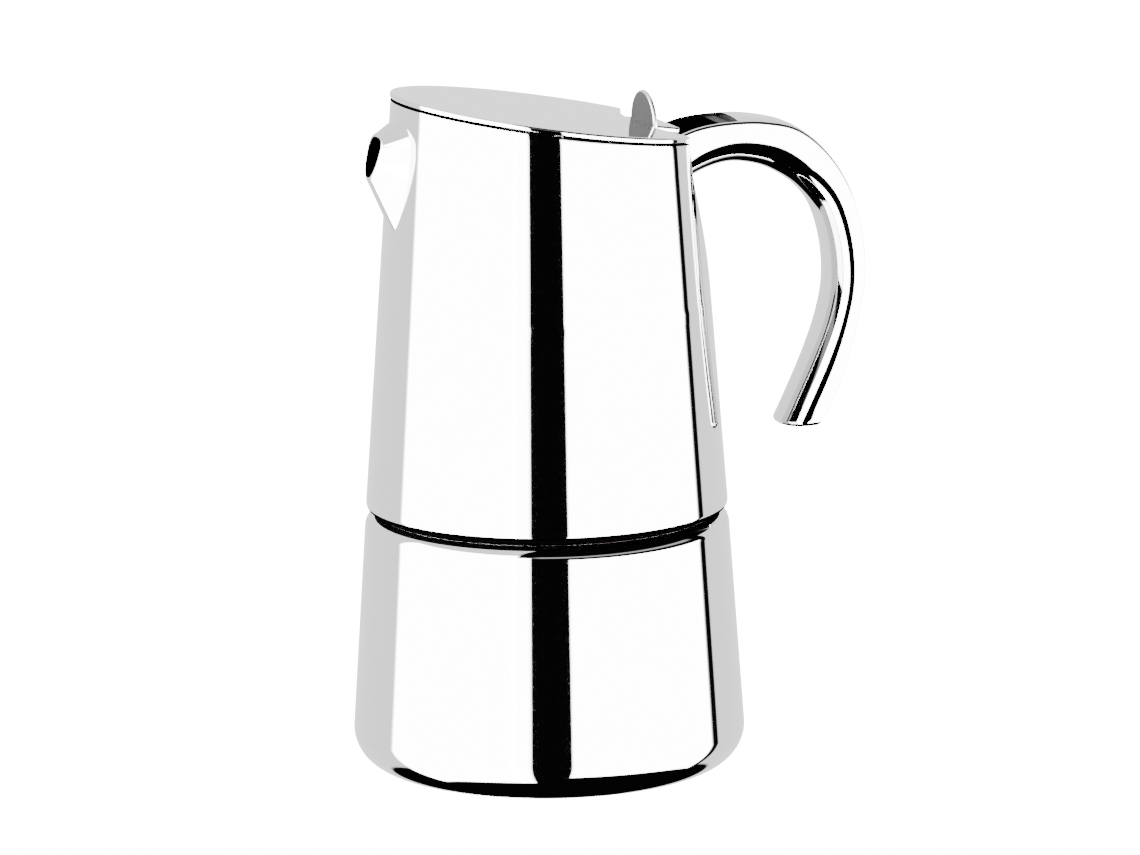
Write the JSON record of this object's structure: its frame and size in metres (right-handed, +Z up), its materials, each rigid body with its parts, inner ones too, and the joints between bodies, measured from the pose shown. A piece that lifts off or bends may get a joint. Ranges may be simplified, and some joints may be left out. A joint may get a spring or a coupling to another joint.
{
  "type": "moka pot",
  "caption": "Stovetop coffee pot of polished steel: tapered boiler and jug, flat slanted lid with a thumb tab, beak spout and an open-ended curved handle.",
  "frame": {"origin": "on the pot's axis, on the flat underside of the base", "axes": "+Z up along the pot's axis; +X towards the handle, -X towards the spout; +Y towards the safety valve, which is also the lid hinge's axis"},
  "size_m": [0.1424, 0.1138, 0.1835],
  "materials": {
    "polished_steel": "mirror-polished stainless steel",
    "satin_steel": "satin stainless steel",
    "aluminium": "matt bare aluminium",
    "brass": "turned brass",
    "silicone": "soft off-white silicone",
    "black_plastic": "fine matt black"
  },
  "bodies": {
    "boiler": {"boiler_shell": "polished_steel", "base_core_disc": "aluminium", "base_cap": "polished_steel", "valve_body": "brass", "valve_washer": "silicone", "valve_nut": "brass", "valve_retainer": "satin_steel"},
    "valve_plunger": {"valve_plunger": "brass", "valve_spring": "satin_steel"},
    "funnel": {"funnel_basket": "aluminium", "funnel_stem": "aluminium", "basket_floor": "aluminium"},
    "gasket": {"gasket": "silicone"},
    "filter": {"filter_plate": "satin_steel"},
    "jug": {"jug_shell": "polished_steel", "spout": "polished_steel", "jug_floor": "satin_steel", "thread_ring": "satin_steel", "coffee_column": "satin_steel", "column_cap": "satin_steel", "handle": "polished_steel", "thumb_rest": "black_plastic", "hinge_bracket": "satin_steel", "hinge_pin": "satin_steel"},
    "lid": {"lid_plate": "polished_steel", "lid_tab": "polished_steel", "lid_hinge_leaf": "satin_steel"}
  },
  "joints": [
    {"name": "funnel_lift_out", "type": "slide", "parent": "boiler", "child": "funnel", "axis": [0, 0, 1], "range_m": [0, 0.08]},
    {"name": "jug_lift_off", "type": "slide", "parent": "funnel", "child": "gasket", "axis": [0, 0, 1], "range_m": [0, 0.09]},
    {"name": "thread_rise", "type": "slide", "parent": "gasket", "child": "filter", "axis": [0, 0, 1], "range_m": [0, 0.0046]},
    {"name": "jug_unscrew", "type": "hinge", "parent": "filter", "child": "jug", "pos_m": [0, 0, 0.08], "axis": [0, 0, 1], "range_deg": [0, 540]},
    {"name": "lid_open", "type": "hinge", "parent": "jug", "child": "lid", "pos_m": [0.0346, 0, 0.1676], "axis": [0, 1, 0], "range_deg": [0, 90]},
    {"name": "valve_open", "type": "slide", "parent": "boiler", "child": "valve_plunger", "axis": [0, 1, 0], "range_m": [0, 0.001], "stiffness_N_per_m": 800, "springref_m": -0.003}
  ],
  "couplings": [
    {"joint": "thread_rise", "follows": "jug_unscrew", "m_per_rad": 0.00047746}
  ]
}
